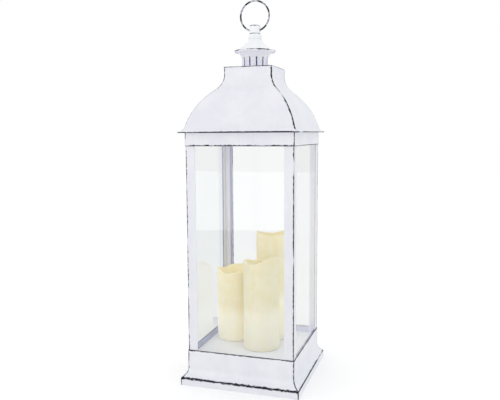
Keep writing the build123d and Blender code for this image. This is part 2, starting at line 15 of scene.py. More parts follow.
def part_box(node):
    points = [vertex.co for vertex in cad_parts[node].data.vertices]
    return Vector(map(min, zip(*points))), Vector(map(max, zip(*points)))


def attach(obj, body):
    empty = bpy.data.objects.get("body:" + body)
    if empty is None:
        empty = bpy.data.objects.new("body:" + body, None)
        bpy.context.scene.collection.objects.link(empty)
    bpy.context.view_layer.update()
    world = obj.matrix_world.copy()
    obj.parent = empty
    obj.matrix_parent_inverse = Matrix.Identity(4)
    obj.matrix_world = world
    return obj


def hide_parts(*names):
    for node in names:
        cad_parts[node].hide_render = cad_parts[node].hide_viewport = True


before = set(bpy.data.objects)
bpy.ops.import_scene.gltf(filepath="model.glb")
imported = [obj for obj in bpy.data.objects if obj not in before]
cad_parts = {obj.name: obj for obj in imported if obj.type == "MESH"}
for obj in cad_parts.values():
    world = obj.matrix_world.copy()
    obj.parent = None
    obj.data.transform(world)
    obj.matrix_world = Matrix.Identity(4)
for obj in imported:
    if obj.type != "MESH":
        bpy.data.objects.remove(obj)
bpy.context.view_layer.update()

# %% [markdown]
# ## Camera
# The lantern is seen from a little above its middle, with its front pane nearly square to us and
# its right side just showing. A camera looks along its own -Z, so its turn is built from three
# plain turns: lift it to look level, tip it down a little, and swing it round the lantern.

# %% Camera
CAMERA_PLACE = Vector((0.3493, -1.1232, 0.4640))
CAMERA_SWING = 17.80
CAMERA_TIP = 6.16
CAMERA_ROLL = -0.30
LENS = 44.4

camera = bpy.data.objects.new("camera", bpy.data.cameras.new("camera"))
bpy.context.collection.objects.link(camera)
camera.data.lens = LENS
camera.data.sensor_width = 36.0
turn = (
    Matrix.Rotation(radians(CAMERA_SWING), 4, "Z")
    @ Matrix.Rotation(radians(90 - CAMERA_TIP), 4, "X")
    @ Matrix.Rotation(radians(CAMERA_ROLL), 4, "Z")
)
camera.matrix_world = Matrix.Translation(CAMERA_PLACE) @ turn
bpy.context.scene.camera = camera
bpy.context.scene.view_settings.view_transform = "Standard"
print("camera at", tuple(CAMERA_PLACE), "lens", LENS, "mm")

# %% [markdown]
# ## Node helpers
# Every finish below is a small network of shader nodes. A few helpers keep them readable. The first
# adds a node and fills its inputs, the next do arithmetic and blending, and the last start a
# material and raise its surface.

# %% Node helpers
def add_node(tree, kind, inputs=None, **settings):
    """A new node, with each input linked to a socket or set to a constant."""
    node = tree.nodes.new(kind)
    for setting, value in settings.items():
        setattr(node, setting, value)
    for key, value in (inputs or {}).items():
        if isinstance(value, bpy.types.NodeSocket):
            tree.links.new(value, node.inputs[key])
        else:
            node.inputs[key].default_value = value
    return node


def calc(tree, operation, first, second=0.0, third=0.0):
    """One step of arithmetic on sockets and numbers."""
    node = add_node(tree, "ShaderNodeMath", {0: first, 1: second, 2: third}, operation=operation)
    return node.outputs[0]


def ramp(tree, value, low, high, to_low=0.0, to_high=1.0):
    """A smooth step from one level to another as value runs from low to high."""
    node = add_node(
        tree,
        "ShaderNodeMapRange",
        {"Value": value, "From Min": low, "From Max": high, "To Min": to_low, "To Max": to_high},
        interpolation_type="SMOOTHSTEP",
    )
    return node.outputs["Result"]


def blend_colours(tree, share, first, second):
    """The first colour where share is 0 and the second where it is 1."""
    node = add_node(tree, "ShaderNodeMix", {"Factor": share}, data_type="RGBA")
    for key, value in ((6, first), (7, second)):
        if isinstance(value, bpy.types.NodeSocket):
            tree.links.new(value, node.inputs[key])
        else:
            node.inputs[key].default_value = (*value, 1.0)
    return node.outputs[2]

# %% [markdown]
# ## Patterns
# Noise is what keeps a surface from looking like plastic. Stretching the coordinates before the
# noise draws its blotches out into streaks, as a brush or a polishing wheel does.

# %% Patterns
def cloud(tree, place, scale, detail=2.0, roughness=0.5):
    """Noise between 0 and 1 at a place, with scale features to the metre."""
    inputs = {"Vector": place, "Scale": scale, "Detail": detail, "Roughness": roughness}
    return add_node(tree, "ShaderNodeTexNoise", inputs).outputs["Fac"]


def stretch(tree, place, x=1.0, y=1.0, z=1.0):
    """Coordinates squeezed along each axis, which draws a pattern out."""
    return add_node(tree, "ShaderNodeMapping", {"Vector": place, "Scale": (x, y, z)}).outputs[0]

# %% [markdown]
# ## Starting a material
# Each finish is one Principled shader fed by patterns. The patterns use Object coordinates, which
# are in metres and stay with the piece when it moves. Bump then tilts the light as small hollows
# would, at no cost in faces.

# %% Starting a material
def start_material(name, **sockets):
    """A material with one Principled shader, whose plain sockets are set by name."""
    material = bpy.data.materials.new(name)
    material.use_nodes = True
    tree = material.node_tree
    shader = tree.nodes["Principled BSDF"]
    for socket, value in sockets.items():
        shader.inputs[socket.replace("_", " ")].default_value = value
    place = tree.nodes.new("ShaderNodeTexCoord").outputs["Object"]
    return material, tree, shader, place


def bump(tree, shader, height, distance):
    """Raises the surface by height times distance, in metres."""
    inputs = {"Height": height, "Distance": distance, "Strength": 1.0}
    tree.links.new(add_node(tree, "ShaderNodeBump", inputs).outputs[0], shader.inputs["Normal"])


# %% [markdown]
# ## Rubbed paint
# The real paint is brushed on over dark primer, then sanded through by hand along every edge, so a
# broken, ragged black line follows each one. A dirt map painted by hand would need a texture. Here
# the shader measures how far each point is from the nearest edge instead, and lets noise decide how
# far the rubbing reached.

# %% Where a point is
def whereabouts(tree, place):
    """Measures of a point that edges are described by, such as its distance out from the axis."""
    axes = add_node(tree, "ShaderNodeSeparateXYZ", {0: place}).outputs
    at = {"x": axes[0], "y": axes[1], "z": axes[2]}
    at["side_x"] = calc(tree, "ABSOLUTE", at["x"])
    at["side_y"] = calc(tree, "ABSOLUTE", at["y"])
    at["square"] = calc(tree, "MAXIMUM", at["side_x"], at["side_y"])
    at["corner"] = calc(tree, "ABSOLUTE", calc(tree, "SUBTRACT", at["side_x"], at["side_y"]))
    flat = add_node(tree, "ShaderNodeVectorMath", {0: place, 1: (1, 1, 0)}, operation="MULTIPLY").outputs[0]
    at["round"] = add_node(tree, "ShaderNodeVectorMath", {0: flat}, operation="LENGTH").outputs["Value"]
    return at

# %% [markdown]
# ## Distance to an edge
# An edge of this lantern is where two measures have known values: the rim of the plinth is a
# certain distance out and a certain height up. How far a point is from that edge is then plain
# Pythagoras.

# %% Distance to an edge
def off_edge(tree, at, **edge):
    """How far a point is from the line where two measures have the given values."""
    squares = []
    for measure, value in edge.items():
        gap = calc(tree, "SUBTRACT", at[measure], value)
        squares.append(calc(tree, "MULTIPLY", gap, gap))
    return calc(tree, "SQRT", calc(tree, "ADD", squares[0], squares[1] if len(squares) > 1 else 0.0))


def off_window(tree, at, half_width, bottom, top, front):
    """How far a point is from the outline of a rectangle that stands at y = front."""
    across = calc(tree, "SUBTRACT", at["side_x"], half_width)
    up = calc(tree, "ABSOLUTE", calc(tree, "SUBTRACT", at["z"], (bottom + top) / 2))
    beyond = calc(tree, "SUBTRACT", up, (top - bottom) / 2)
    in_plane = calc(tree, "MAXIMUM", across, beyond)
    behind = calc(tree, "SUBTRACT", at["y"], front)
    squares = calc(tree, "MULTIPLY_ADD", in_plane, in_plane, calc(tree, "MULTIPLY", behind, behind))
    return calc(tree, "SQRT", squares)


# %% [markdown]
# ## The paint itself
# One function makes all the painted finishes, because every painted part went through the same
# brushing and sanding. Each part only says which of its edges were sanded and how wide. Paint
# inside a fold, where the sanding block never reached, also gets a lavender tone that is painted shade.

# %% The paint itself
UNSEEN_EDGE = 0.0002
WHITE = (0.800, 0.792, 0.835)
COOL_WHITE = (0.755, 0.757, 0.812)
# Tones of painted shade: lavender and pale for the inside of folds, deep blue for the drum's slots.
SHADE_LAVENDER = (0.52, 0.55, 0.86)
PALE_SHADE = (0.86, 0.86, 0.93)
SLOT_BLUE = (0.34, 0.27, 1.0)
PRIMER = (0.010, 0.011, 0.016)
GREY_HALO = (0.33, 0.34, 0.43)
EVERYWHERE = 0.0


def rubbed_paint(name, edges, patchiness=0.5, colour=WHITE, shade=COOL_WHITE, painted_shade=None, fade=0.0):
    """White paint, worn dark along edges: a list of (measures of one edge, width of its wear).

    The painted shade is a tone laid where shade falls inside folds, given as a measure, the two values
    between which the tone fades in, and its colour. fade weakens the wear on the left.
    """
    material, tree, shader, place = start_material(name)
    at = whereabouts(tree, place)
    nearest = 6.0
    for edge, width in edges:
        if "window" in edge:
            gap = off_window(tree, at, *edge["window"])
        else:
            gap = off_edge(tree, at, **edge)
        nearest = calc(tree, "MINIMUM", calc(tree, "DIVIDE", gap, width), nearest)
    ragged = ramp(tree, cloud(tree, place, 260.0, 5.0, 0.7), 0.32, 0.68, 0.15, 1.25)
    patches = ramp(tree, cloud(tree, place, 24.0, 2.5, 0.6), patchiness - 0.10, patchiness + 0.04)
    patches = calc(tree, "MULTIPLY", patches, ramp(tree, at["x"], -0.085, -0.01, 1.0 - fade, 1.0))
    reach = calc(tree, "MULTIPLY", ragged, patches)
    worn = ramp(tree, calc(tree, "SUBTRACT", reach, nearest), -0.10, 0.06)
    halo_reach = calc(tree, "MULTIPLY_ADD", patches, 0.6, calc(tree, "MULTIPLY", ragged, 0.5))
    halo = ramp(tree, calc(tree, "SUBTRACT", halo_reach, nearest), -0.45, 0.45, 0.0, 0.55)
    mottle = ramp(tree, cloud(tree, place, 26.0, 4.0, 0.6), 0.35, 0.68)
    streaks = cloud(tree, stretch(tree, place, 1.0, 1.0, 0.06), 420.0, 2.0)
    paint = blend_colours(tree, mottle, colour, shade)
    paint = blend_colours(tree, ramp(tree, streaks, 0.56, 0.8, 0.0, 0.10), paint, GREY_HALO)
    # Painted shade: a tone laid over the paint where shade falls inside a fold.
    if painted_shade:
        measure, outside, inside, tone = painted_shade
        paint = blend_colours(tree, ramp(tree, at[measure], outside, inside), paint, tone)
    paint = blend_colours(tree, halo, paint, GREY_HALO)
    tree.links.new(blend_colours(tree, worn, paint, PRIMER), shader.inputs["Base Color"])
    gloss = ramp(tree, streaks, 0.2, 0.8, 0.40, 0.55)
    tree.links.new(calc(tree, "MULTIPLY_ADD", worn, 0.14, gloss), shader.inputs["Roughness"])
    tree.links.new(ramp(tree, worn, 0.0, 1.0, 0.32, 0.10), shader.inputs["Specular IOR Level"])
    drag = calc(tree, "MULTIPLY", streaks, 0.25)
    skin = calc(tree, "MULTIPLY_ADD", cloud(tree, place, 900.0, 2.0), 0.12, drag)
    bump(tree, shader, calc(tree, "SUBTRACT", skin, worn), 0.00012)
    return material


# %% [markdown]
# ## Sheet metal
# A pressed skirt or roof is one line in section, carried round a square. Turning that line about
# the upright axis in four steps gives exactly a square shell, if the line stands on a corner.
# Solidify then gives the sheet its thickness and Bevel rolls its edges, which is quicker and more
# even than modelling both faces.

# %% Lines in section
SHEET = 0.001
ROLLED_EDGE = 0.0003
ROLL_STEPS = 2
SHARP_ANGLE = 35.0
FLAT_FACE_WEIGHT = 80
TURNING_STEPS = 72
SAME_PLACE = 0.00001


def bend(line, heading, radius, swing, steps=8):
    """Carries a line on by an arc that turns by swing degrees, and returns the new heading."""
    side = 1 if swing > 0 else -1
    out, up = line[-1]
    centre = (out - side * radius * sin(radians(heading)), up + side * radius * cos(radians(heading)))
    for step in range(1, steps + 1):
        angle = radians(heading + swing * step / steps)
        line.append((centre[0] + side * radius * sin(angle), centre[1] - side * radius * cos(angle)))
    return heading + swing

# %% [markdown]
# ## Making a piece
# A bmesh is only a shape. To become a piece of the lantern it needs a name, a finish, and a body of
# the model to ride on, so that it moves when that body moves. It also takes the place of the
# model's own node.

# %% Making a piece
def finish_piece(mesh, name, material, body, slot, *nodes, smooth=True):
    """Makes an object of a bmesh and sets it on its body in place of the model's nodes."""
    data = bpy.data.meshes.new(name)
    for face in mesh.faces:
        face.smooth = smooth
    mesh.to_mesh(data)
    mesh.free()
    piece = bpy.data.objects.new(name, data)
    bpy.context.collection.objects.link(piece)
    piece.data.materials.append(material)
    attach(piece, body)
    if nodes:
        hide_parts(*nodes)
    print(name, len(data.polygons), "faces")
    return piece

# %% [markdown]
# ## Thickness and rolled edges
# Real sheet is about a millimetre thick and its cut edges are rolled or rubbed round. Bevel rounds
# them. Weighted normals keep the wide faces beside a rounded edge looking flat.

# %% Thickness and rolled edges
def thicken(piece, wall, edge):
    """Gives a sheet its thickness, inwards, and rolls its sharp edges."""
    solid = piece.modifiers.new("sheet", "SOLIDIFY")
    solid.thickness = wall
    solid.offset = -1.0
    solid.use_even_offset = True
    roll_edges(piece, edge)


def roll_edges(piece, edge):
    """Rounds every sharp edge, and keeps the flat faces beside it looking flat."""
    rounding = piece.modifiers.new("edges", "BEVEL")
    rounding.width = edge
    rounding.segments = ROLL_STEPS
    rounding.limit_method = "ANGLE"
    rounding.angle_limit = radians(SHARP_ANGLE)
    weighting = piece.modifiers.new("flat_faces", "WEIGHTED_NORMAL")
    weighting.weight = FLAT_FACE_WEIGHT

# %% [markdown]
# ## Shells
# With a line in section and a wall, square and round parts differ only in how many steps the turn
# takes.

# %% Shells
def draw_line(mesh, points):
    """Joins points with edges, in order."""
    corners = [mesh.verts.new(point) for point in points]
    return corners + [mesh.edges.new(pair) for pair in zip(corners, corners[1:])]


def square_shell(line, name, material, body, slot, *nodes):
    """A sheet of four flat sides whose section, from top to bottom, is line."""
    mesh = bmesh.new()
    chain = draw_line(mesh, [(half, half, up) for half, up in line])
    bmesh.ops.spin(mesh, geom=chain, axis=(0, 0, 1), angle=tau, steps=4, use_merge=True)
    bmesh.ops.recalc_face_normals(mesh, faces=mesh.faces)
    piece = finish_piece(mesh, name, material, body, slot, *nodes)
    thicken(piece, SHEET, ROLLED_EDGE)
    return piece


def round_shell(line, name, material, body, slot, *nodes):
    """A sheet turned on the upright axis."""
    mesh = bmesh.new()
    chain = draw_line(mesh, [(out, 0, up) for out, up in line])
    bmesh.ops.spin(mesh, geom=chain, axis=(0, 0, 1), angle=tau, steps=TURNING_STEPS, use_merge=True)
    bmesh.ops.remove_doubles(mesh, verts=mesh.verts, dist=SAME_PLACE)
    bmesh.ops.recalc_face_normals(mesh, faces=mesh.faces)
    piece = finish_piece(mesh, name, material, body, slot, *nodes)
    thicken(piece, SHEET, ROLLED_EDGE)
    return piece


# %% [markdown]
# ## Base
# The base is pressed from sheet: an upright wall, a cove that sweeps out to a plinth, and a hem
# turned in where it stands. Its sizes are read off the model's box, and the cove's radius follows
# from them.

# %% Base
PLINTH_TOP = 0.0135
COVE_END_SLOPE = 28.0
BODY_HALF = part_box("fascia_band")[1][0]
base_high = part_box("base_skirt")[1]
plinth_half = base_high[0]
cove_radius = (plinth_half - BODY_HALF) / (1 - sin(radians(COVE_END_SLOPE)))
cove_top = PLINTH_TOP + cove_radius * cos(radians(COVE_END_SLOPE))
HEM = 0.006

base_line = [(BODY_HALF, base_high[2]), (BODY_HALF, cove_top)]
bend(base_line, -90.0, cove_radius, 90.0 - COVE_END_SLOPE, steps=12)
base_line += [(plinth_half, 0.0), (plinth_half - HEM, 0.0)]
base_paint = rubbed_paint(
    "rubbed_paint_base",
    [
        ({"side_y": plinth_half, "z": PLINTH_TOP}, 0.0029),
        ({"side_x": plinth_half, "z": PLINTH_TOP}, 0.0020),
        ({"square": BODY_HALF, "z": base_high[2]}, 0.0022),
        ({"corner": EVERYWHERE}, 0.0018),
    ],
    patchiness=0.40,
    # Painted shade: lavender on the skirt's inner face.
    painted_shade=("square", BODY_HALF - 0.0001, BODY_HALF - 0.0004, SHADE_LAVENDER),
)
square_shell(base_line, "base_skirt_sheet", base_paint, "lantern", "white_paint", "base_skirt")

# %% [markdown]
# ## Roof
# Four curved panels are soldered along the ridges. Each is a strip drawn along the front's section
# and pulled sideways from one ridge to the other, then turned to its own side, so that a fine seam
# stays along each ridge.

# %% Roof section
NECK_SWEEP = 0.035
FLICK = 0.011
SHOULDER_SLOPE = 40.0
BELL_SLOPE = 75.0
EAVE_SLOPE = 5.0
NECK_HALF = 0.0453
eave_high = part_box("eave_plate")[1]
roof_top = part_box("roof_front")[1][2]
crown_half, _, crown_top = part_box("crown_plate")[1]
sweep_reach = NECK_SWEEP * (1 - sin(radians(SHOULDER_SLOPE)))
flick_reach = FLICK * (sin(radians(BELL_SLOPE)) - sin(radians(EAVE_SLOPE)))
bell_reach = eave_high[0] - NECK_HALF - sweep_reach - flick_reach
bell_radius = bell_reach / (sin(radians(BELL_SLOPE)) - sin(radians(SHOULDER_SLOPE)))
roof_drop = (
    NECK_SWEEP * cos(radians(SHOULDER_SLOPE))
    + bell_radius * (cos(radians(SHOULDER_SLOPE)) - cos(radians(BELL_SLOPE)))
    + FLICK * (cos(radians(EAVE_SLOPE)) - cos(radians(BELL_SLOPE)))
)
neck_bottom = eave_high[2] + SHEET + roof_drop

roof_line = [(NECK_HALF, roof_top), (NECK_HALF, neck_bottom)]
heading = bend(roof_line, -90.0, NECK_SWEEP, 90.0 - SHOULDER_SLOPE, steps=10)
heading = bend(roof_line, heading, bell_radius, SHOULDER_SLOPE - BELL_SLOPE, steps=18)
bend(roof_line, heading, FLICK, BELL_SLOPE - EAVE_SLOPE, steps=10)
print("roof foot", roof_line[-1], "eave", eave_high)

# %% [markdown]
# ## Roof paint
# The ridges were sanded hardest, and the eave most along the front. On the left the wear is faded,
# so that the sanding doesn't look even all round.

# %% Roof paint
roof_paint = rubbed_paint(
    "rubbed_paint_roof",
    [
        ({"corner": EVERYWHERE}, 0.0024),
        ({"side_y": eave_high[0], "z": eave_high[2]}, 0.0030),
        ({"side_x": eave_high[0], "z": eave_high[2]}, 0.0009),
    ],
    patchiness=0.43,
    fade=0.8,
)
print("roof paint", roof_paint.name)

# %% [markdown]
# ## Roof panels
# Each panel is pulled out from the left ridge in strips, so that it can be made very slightly
# uneven, as hand-formed sheet is. Near the ridges the unevenness dies away, and the seams stay
# closed.

# %% Roof panels
PANEL_STRIPS = 12
HAND_BEATEN = 0.00025
BEATEN_PITCH = 22.0
RIDGE_FADE = 0.02


def roof_panel(side, quarter_turns):
    """One curved panel between two ridges, very slightly uneven as hand-formed sheet is."""
    mesh = bmesh.new()
    chain = draw_line(mesh, [(-half, -half, up) for half, up in roof_line])
    seam = [edge for edge in chain if isinstance(edge, bmesh.types.BMEdge)]
    for strip in range(PANEL_STRIPS):
        pulled = bmesh.ops.extrude_edge_only(mesh, edges=seam)["geom"]
        seam = [edge for edge in pulled if isinstance(edge, bmesh.types.BMEdge)]
        for vert in (item for item in pulled if isinstance(item, bmesh.types.BMVert)):
            vert.co.x += 2 * abs(vert.co.y) / PANEL_STRIPS
    for vert in mesh.verts:
        inside = abs(vert.co.y) - abs(vert.co.x)
        swell = noise.noise(vert.co * BEATEN_PITCH + Vector((0, 0, quarter_turns)))
        vert.co.y += HAND_BEATEN * swell * min(1.0, inside / RIDGE_FADE)
    bmesh.ops.rotate(mesh, verts=mesh.verts, matrix=Matrix.Rotation(quarter_turns * pi / 2, 3, "Z"))
    bmesh.ops.recalc_face_normals(mesh, faces=mesh.faces)
    outward = Vector((sin(quarter_turns * pi / 2), -cos(quarter_turns * pi / 2), 0.3))
    if sum(face.normal.dot(outward) * face.calc_area() for face in mesh.faces) < 0:
        bmesh.ops.reverse_faces(mesh, faces=mesh.faces)
    piece = finish_piece(mesh, f"roof_panel_{side}", roof_paint, "lantern", "white_paint", f"roof_{side}")
    thicken(piece, SHEET, ROLLED_EDGE)


for quarter_turns, side in enumerate(("front", "right", "back", "left")):
    roof_panel(side, quarter_turns)

# %% [markdown]
# ## Chimney
# The chimney lets hot air out and carries the ring. Its cap is spun from thin sheet, so a line in
# section is turned about the upright axis to give its long sweep. The drum with its vent slots
# comes later, from the model's own shape.

# %% Cap
CAP_BRIM_SLOPE = 20.0
CAP_TOP_SLOPE = 57.0
CAP_SWEEP = 0.052
BRIM_LIP = 0.003
BRIM_DROP = 0.0215
CAP_BORE = 0.0026
CHIMNEY_WHITE = (0.87, 0.87, 0.90)
CHIMNEY_SHADE = (0.83, 0.83, 0.87)
cap_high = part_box("chimney_cap")[1]
brim = cap_high[0]
cap_span = CAP_SWEEP * (sin(radians(CAP_TOP_SLOPE)) - sin(radians(CAP_BRIM_SLOPE)))
cap_line = [(CAP_BORE, cap_high[2]), (brim - cap_span, cap_high[2])]
bend(cap_line, -CAP_TOP_SLOPE, CAP_SWEEP, CAP_TOP_SLOPE - CAP_BRIM_SLOPE, steps=16)
cap_line.append((brim, cap_line[-1][1] - BRIM_LIP))
chimney_paint = rubbed_paint(
    "rubbed_paint_chimney",
    [
        ({"round": brim, "z": cap_high[2] - BRIM_DROP}, 0.0012),
        ({"side_y": crown_half, "z": crown_top}, 0.0020),
        ({"side_x": crown_half, "z": crown_top}, 0.0009),
    ],
    patchiness=0.49,
    colour=CHIMNEY_WHITE,
    shade=CHIMNEY_SHADE,
)
round_shell(cap_line, "chimney_cap_sheet", chimney_paint, "lantern", "white_paint", "chimney_cap")

# %% [markdown]
# ## Finial, crown and drum
# The finial is a turned knob, the crown plate is a flat square, and the drum has narrow slots
# punched through its wall. The model has all three right, so each is copied, its faces are merged
# again and its knife edges are rounded. Light catches a rounded edge, which is what makes it look
# like pressed metal.

# %% Softened copies
def copy_of(node):
    """A merged copy of a node's mesh, with its flat faces whole again."""
    mesh = bmesh.new()
    mesh.from_mesh(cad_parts[node].data)
    bmesh.ops.remove_doubles(mesh, verts=mesh.verts, dist=SAME_PLACE)
    bmesh.ops.dissolve_limit(mesh, angle_limit=radians(1.0), verts=mesh.verts, edges=mesh.edges)
    return mesh


def soften(node, material, body, slot, edge=ROLLED_EDGE, smooth=True):
    """The node's own shape with its sharp edges rounded, as paint and pressing leave them."""
    piece = finish_piece(copy_of(node), f"{node}_rounded", material, body, slot, node, smooth=smooth)
    roll_edges(piece, edge)
    return piece


# %% [markdown]
# ## Finial and crown
# The finial is a turned knob with a cross hole for the ring. The top and bottom edges of its knob are
# rubbed dark, and the crown plate is worn round its square outline.

# %% Finial and crown
KNOB_BOTTOM = 0.6482
KNOB_RADIUS = 0.0101
finial_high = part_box("finial")[1]
finial_paint = rubbed_paint(
    "rubbed_paint_finial",
    [
        ({"round": KNOB_RADIUS, "z": finial_high[2]}, 0.0015),
        ({"round": KNOB_RADIUS, "z": KNOB_BOTTOM}, 0.0011),
    ],
    patchiness=0.48,
    colour=CHIMNEY_WHITE,
    shade=CHIMNEY_SHADE,
)
soften("finial", finial_paint, "lantern", "white_paint", edge=0.0004)
soften("crown_plate", chimney_paint, "lantern", "white_paint")

# %% [markdown]
# ## Drum
# The drum's wall has narrow slots all round that let warm air out. Their cut sides and the inside wall
# get no direct light, so they are given a blue tone that reads as shade.

# %% Drum
DRUM_RADIUS = 0.0242
drum_paint = rubbed_paint(
    "drum_paint",
    [({"corner": EVERYWHERE}, UNSEEN_EDGE / 2)],
    patchiness=0.7,
    painted_shade=("round", DRUM_RADIUS - 0.0002, DRUM_RADIUS - 0.0008, SLOT_BLUE),
)
soften("vent_drum", drum_paint, "lantern", "white_paint", edge=0.0002)

# %% [markdown]
# ## Carrying ring
# The ring is a bent steel wire whose ends meet in the finial's hole. Its paint has been rubbed away
# by hooks and fingers in long dark stretches.

# %% Ring paint
WIRE = 0.0016
ring_low, ring_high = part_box("carrying_ring")
ring_middle = (ring_low[2] + ring_high[2]) / 2
ring_radius = (ring_high[2] - ring_low[2]) / 2 - WIRE
RUB_FADE = 1.25
RUBBED_PLACES = ((120.0, 10.0), (24.0, 11.0), (183.0, 13.0), (-52.0, 13.0), (222.0, 9.0), (68.0, 8.0))


def ring_paint():
    """Pale grey paint, rubbed black at places: the way each faces and half its width."""
    material, tree, shader, place = start_material("ring_paint", Specular_IOR_Level=0.3)
    vector_math = "ShaderNodeVectorMath"
    centred = add_node(tree, vector_math, {0: place, 1: (0, 0, ring_middle)}, operation="SUBTRACT")
    around = add_node(tree, vector_math, {0: centred.outputs[0]}, operation="NORMALIZE").outputs[0]
    grit = cloud(tree, place, 420.0, 3.0, 0.6)
    rubbed = 0.0
    for facing, width in RUBBED_PLACES:
        way = (cos(radians(facing)), 0, sin(radians(facing)))
        along = add_node(tree, vector_math, {0: around, 1: way}, operation="DOT_PRODUCT").outputs["Value"]
        ragged = calc(tree, "MULTIPLY_ADD", grit, 0.03, calc(tree, "SUBTRACT", along, 0.015))
        patch = ramp(tree, ragged, cos(radians(width * RUB_FADE)), cos(radians(width)))
        rubbed = calc(tree, "MAXIMUM", patch, rubbed)
    coat = blend_colours(tree, ramp(tree, grit, 0.42, 0.60), (0.55, 0.56, 0.61), (0.20, 0.21, 0.26))
    tree.links.new(blend_colours(tree, rubbed, coat, PRIMER), shader.inputs["Base Color"])
    tree.links.new(ramp(tree, grit, 0.3, 0.7, 0.36, 0.55), shader.inputs["Roughness"])
    bump(tree, shader, grit, 0.00015)
    return material

# %% [markdown]
# ## Ring wire
# A small circle is carried once round the ring's middle, which is how wire is bent round a mandrel.

# %% Ring wire
WIRE_SIDES = 14
RING_STEPS = 96


def carrying_ring():
    """A wire circle turned about the ring's middle."""
    mesh = bmesh.new()
    section = bmesh.ops.create_circle(mesh, segments=WIRE_SIDES, radius=WIRE)["verts"]
    bmesh.ops.translate(mesh, verts=section, vec=(ring_radius, 0, 0))
    geom = mesh.verts[:] + mesh.edges[:]
    bmesh.ops.spin(mesh, geom=geom, axis=(0, 1, 0), angle=tau, steps=RING_STEPS, use_merge=True)
    bmesh.ops.translate(mesh, verts=mesh.verts, vec=(0, 0, ring_middle))
    bmesh.ops.recalc_face_normals(mesh, faces=mesh.faces)
    finish_piece(mesh, "carrying_ring_wire", ring_paint(), "ring", "ring_paint", "carrying_ring")


carrying_ring()

# %% [markdown]
# ## Top frame, posts and door
# These are plain folded sheet, so the model's own shape serves, with its knife edges rounded and
# the same paint.

# %% Top frame and eave
fascia_low, fascia_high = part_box("fascia_band")
fascia_paint = rubbed_paint(
    "rubbed_paint_fascia",
    [
        ({"side_y": fascia_high[0], "z": fascia_low[2]}, 0.0024),
        ({"side_x": fascia_high[0], "z": fascia_low[2]}, 0.0014),
        ({"corner": EVERYWHERE}, 0.0017),
        ({"side_y": eave_high[0], "z": eave_high[2]}, 0.0030),
        ({"side_x": eave_high[0], "z": eave_high[2]}, 0.0009),
    ],
    patchiness=0.41,
    # Painted shade: a pale lavender on the band's inner face.
    painted_shade=("square", fascia_high[0] - 0.0004, fascia_high[0] - 0.0009, PALE_SHADE),
)
soften("fascia_band", fascia_paint, "lantern", "white_paint")
soften("eave_plate", fascia_paint, "lantern", "white_paint")

# %% [markdown]
# ## Posts, floor and pane angles
# Four folded posts carry the roof, and thin angles behind them hold the panes. Every post is worn
# along its corner alone. Its inside gets painted shade: a pale tone on three posts and a dimmer
# blue on the back left one.

# %% Posts, floor and pane angles
POST_WHITE = (0.770, 0.765, 0.805)
POST_SHADE = (0.735, 0.738, 0.785)
# A dimmer blue of painted shade for the inside of the back left post.
DIM_SHADE = (0.50, 0.52, 0.76)
# Heights between which the pane angles' painted shade fades in.
ANGLE_SHADE_TOP = 0.085
ANGLE_SHADE_FOOT = 0.065
# Painted shade inside each post: pale on three, dimmer on the back left.
post_shades = {
    "front_left": PALE_SHADE,
    "front_right": PALE_SHADE,
    "back_right": PALE_SHADE,
    "back_left": DIM_SHADE,
}
for corner, tone in post_shades.items():
    post_paint = rubbed_paint(
        f"rubbed_paint_post_{corner}",
        [({"corner": EVERYWHERE}, 0.0019)],
        patchiness=0.44,
        colour=POST_WHITE,
        shade=POST_SHADE,
        painted_shade=("square", BODY_HALF - 0.0014, BODY_HALF - 0.0019, tone),
    )
    soften(f"post_{corner}", post_paint, "lantern", "white_paint")
# Painted light: the floor plate's paint is lighter and cooler than the other white paint.
lit_floor_paint = rubbed_paint(
    "lit_floor_paint",
    [({"corner": EVERYWHERE}, UNSEEN_EDGE)],
    patchiness=0.7,
    colour=(0.92, 0.935, 0.975),
    shade=(0.90, 0.92, 0.96),
)
soften("floor_plate", lit_floor_paint, "lantern", "white_paint")
# Painted shade: the pane angles turn lavender towards their foot.
angle_paint = rubbed_paint(
    "angle_paint",
    [({"corner": EVERYWHERE}, UNSEEN_EDGE)],
    patchiness=0.7,
    painted_shade=("z", ANGLE_SHADE_TOP, ANGLE_SHADE_FOOT, SHADE_LAVENDER),
)
soften("glass_retainers", angle_paint, "lantern", "white_paint", edge=0.0002)

# %% [markdown]
# ## Door
# The door is at the back, on two hinges, with a turning knob. Its paint is worn round the outside
# and round the window, so its edges are measured from two rectangles instead of from the lantern's
# corners.

# %% Door
door_low, door_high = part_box("door_frame")
WINDOW_HALF = 0.0825
door_paint = rubbed_paint(
    "rubbed_paint_door",
    [
        ({"window": (door_high[0], door_low[2], door_high[2], door_high[1])}, 0.0019),
        ({"window": (WINDOW_HALF, base_high[2], fascia_low[2], door_high[1])}, 0.0014),
    ],
    patchiness=0.43,
)
soften("door_frame", door_paint, "door", "white_paint")
hinge_paint = rubbed_paint("rubbed_paint_hinge", [({"corner": EVERYWHERE}, 0.0015)], patchiness=0.5)
soften("hinge_fixed_leaves", hinge_paint, "lantern", "white_paint", edge=0.0002)
soften("hinge_moving_leaves", hinge_paint, "door", "white_paint", edge=0.0002)
soften("latch_knob", hinge_paint, "latch", "white_paint", edge=0.0004)

# %% [markdown]
# ## Glass
# Window glass is clear with a faint green in its thickness. A Principled shader with full
# transmission bends and mirrors light. Lamps and bounced light pass it by a Transparent shader,
# because light that is bent through a pane is slow to find its way to what stands inside.

